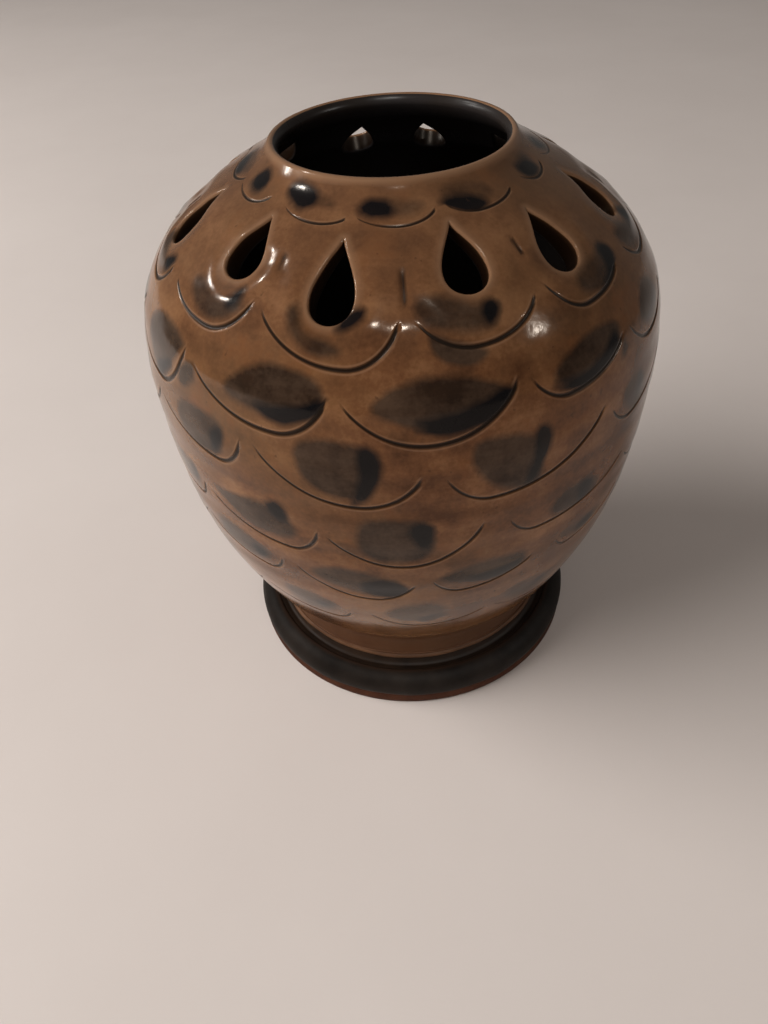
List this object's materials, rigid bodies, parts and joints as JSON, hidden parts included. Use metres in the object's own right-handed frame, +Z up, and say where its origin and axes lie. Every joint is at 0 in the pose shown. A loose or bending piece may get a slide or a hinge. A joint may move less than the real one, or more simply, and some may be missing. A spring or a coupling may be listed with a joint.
{
  "type": "potpourri vase",
  "caption": "Round stoneware jar with a broad shoulder pierced by teardrop vents, an open mouth and a rolled foot, for holding and airing scented dried petals.",
  "frame": {"origin": "centre of the foot's resting face", "axes": "+Z up along the axis of the throwing wheel, -Y towards a vent that faces the front"},
  "size_m": [0.1492, 0.1492, 0.1704],
  "materials": {
    "body_clay": "fired stoneware",
    "foot_clay": "bare fired stoneware",
    "slip": "fired slip under a thin glaze",
    "brown_glaze": "glossy brown glaze with dark brushed patches",
    "dark_liner": "glossy near-black glaze",
    "black_band": "satin near-black glaze"
  },
  "bodies": {
    "root": {"thrown_body": "body_clay", "foot_ring": "foot_clay", "luting_slip": "slip", "outer_glaze": "brown_glaze", "liner_glaze": "dark_liner", "foot_glaze": "black_band"}
  },
  "joints": []
}
